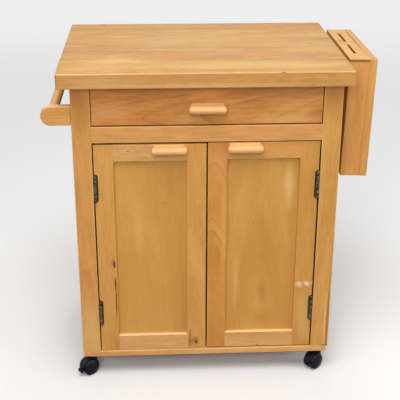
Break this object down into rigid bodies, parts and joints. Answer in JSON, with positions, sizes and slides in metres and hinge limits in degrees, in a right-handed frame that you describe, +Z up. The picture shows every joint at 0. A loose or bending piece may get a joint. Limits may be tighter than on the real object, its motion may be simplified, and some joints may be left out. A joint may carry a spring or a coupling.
{
  "type": "kitchen cart",
  "caption": "Wooden kitchen cart on swivel casters: a thick worktop over a drawer and a two-door case, with a towel rail on one side and a knife block on the other.",
  "frame": {"origin": "the middle of the bounding box's bottom, on the floor", "axes": "+Z up, -Y the front with the drawer and doors, +X the right-hand side with the knife block"},
  "size_m": [0.8414, 0.545, 0.857],
  "materials": {
    "worktop_wood": "clear lacquered, edge-glued staves",
    "case_wood": "clear lacquered",
    "panel_wood": "clear lacquered",
    "inside_wood": "plain, unlacquered",
    "pull_wood": "clear lacquered",
    "hinge_metal": "dark pewter plating",
    "steel": "zinc plated",
    "catch_plastic": "brown moulded plastic",
    "caster_plastic": "black moulded plastic"
  },
  "bodies": {
    "root": {"worktop": "worktop_wood", "base_board": "case_wood", "back_panel": "inside_wood", "drawer_rail": "case_wood", "drawer_runner_left": "inside_wood", "drawer_runner_right": "inside_wood", "shelf": "inside_wood", "shelf_pins": "steel", "door_catch": "catch_plastic", "caster_stems": "steel", "post_front_left": "case_wood", "post_front_right": "case_wood", "post_back_left": "case_wood", "post_back_right": "case_wood", "side_panel_left": "panel_wood", "side_panel_right": "panel_wood", "towel_bracket_front": "pull_wood", "towel_bracket_back": "pull_wood", "towel_dowel": "pull_wood", "knife_block_outer_board": "case_wood", "knife_block_lid": "case_wood", "knife_block_inner_board": "case_wood", "knife_block_front_board": "case_wood", "knife_block_back_board": "case_wood", "knife_block_bottom": "case_wood", "knife_block_spacers": "inside_wood", "hinge_frame_leaves_and_pins": "hinge_metal", "hinge_frame_screws": "hinge_metal"},
    "drawer": {"drawer_front": "case_wood", "drawer_side_left": "inside_wood", "drawer_side_right": "inside_wood", "drawer_back": "inside_wood", "drawer_bottom": "inside_wood", "drawer_handle": "pull_wood"},
    "left_door": {"left_door_outer_stile": "case_wood", "left_door_inner_stile": "case_wood", "left_door_top_rail": "case_wood", "left_door_bottom_rail": "case_wood", "left_door_panel": "panel_wood", "left_door_handle": "pull_wood", "left_door_strike": "steel", "left_door_hinge_leaves": "hinge_metal"},
    "right_door": {"right_door_outer_stile": "case_wood", "right_door_inner_stile": "case_wood", "right_door_top_rail": "case_wood", "right_door_bottom_rail": "case_wood", "right_door_panel": "panel_wood", "right_door_handle": "pull_wood", "right_door_strike": "steel", "right_door_hinge_leaves": "hinge_metal"},
    "caster_front_left": {"caster_hood_front_left": "caster_plastic"},
    "wheels_front_left": {"caster_wheels_front_left": "caster_plastic"},
    "brake_front_left": {"caster_brake_front_left": "caster_plastic"},
    "caster_front_right": {"caster_hood_front_right": "caster_plastic"},
    "wheels_front_right": {"caster_wheels_front_right": "caster_plastic"},
    "caster_back_left": {"caster_hood_back_left": "caster_plastic"},
    "wheels_back_left": {"caster_wheels_back_left": "caster_plastic"},
    "caster_back_right": {"caster_hood_back_right": "caster_plastic"},
    "wheels_back_right": {"caster_wheels_back_right": "caster_plastic"},
    "brake_back_right": {"caster_brake_back_right": "caster_plastic"}
  },
  "joints": [
    {"name": "drawer_slide", "type": "slide", "parent": "root", "child": "drawer", "axis": [0, -1, 0], "range_m": [0, 0.3]},
    {"name": "left_door_hinge", "type": "hinge", "parent": "root", "child": "left_door", "pos_m": [-0.29513, -0.2475, 0.3375], "axis": [0, 0, -1], "range_deg": [0, 170]},
    {"name": "right_door_hinge", "type": "hinge", "parent": "root", "child": "right_door", "pos_m": [0.26867, -0.2475, 0.3375], "axis": [0, 0, 1], "range_deg": [0, 170]},
    {"name": "swivel_front_left", "type": "hinge", "parent": "root", "child": "caster_front_left", "pos_m": [-0.32348, -0.2245, 0.059], "axis": [0, 0, 1], "continuous": true},
    {"name": "roll_front_left", "type": "hinge", "parent": "caster_front_left", "child": "wheels_front_left", "pos_m": [-0.3342, -0.2335, 0.023], "axis": [0.6428, -0.766, 0], "continuous": true},
    {"name": "brake_front_left", "type": "hinge", "parent": "caster_front_left", "child": "brake_front_left", "pos_m": [-0.34716, -0.24437, 0.02916], "axis": [0.6428, -0.766, 0], "range_deg": [0, 14]},
    {"name": "swivel_front_right", "type": "hinge", "parent": "root", "child": "caster_front_right", "pos_m": [0.29702, -0.2245, 0.059], "axis": [0, 0, 1], "continuous": true},
    {"name": "roll_front_right", "type": "hinge", "parent": "caster_front_right", "child": "wheels_front_right", "pos_m": [0.2863, -0.2335, 0.023], "axis": [0.6428, -0.766, 0], "continuous": true},
    {"name": "swivel_back_left", "type": "hinge", "parent": "root", "child": "caster_back_left", "pos_m": [-0.32348, 0.2225, 0.059], "axis": [0, 0, 1], "continuous": true},
    {"name": "roll_back_left", "type": "hinge", "parent": "caster_back_left", "child": "wheels_back_left", "pos_m": [-0.3342, 0.2135, 0.023], "axis": [0.6428, -0.766, 0], "continuous": true},
    {"name": "swivel_back_right", "type": "hinge", "parent": "root", "child": "caster_back_right", "pos_m": [0.29702, 0.2225, 0.059], "axis": [0, 0, 1], "continuous": true},
    {"name": "roll_back_right", "type": "hinge", "parent": "caster_back_right", "child": "wheels_back_right", "pos_m": [0.2863, 0.2135, 0.023], "axis": [0.6428, -0.766, 0], "continuous": true},
    {"name": "brake_back_right", "type": "hinge", "parent": "caster_back_right", "child": "brake_back_right", "pos_m": [0.27334, 0.20263, 0.02916], "axis": [0.6428, -0.766, 0], "range_deg": [0, 14]}
  ]
}
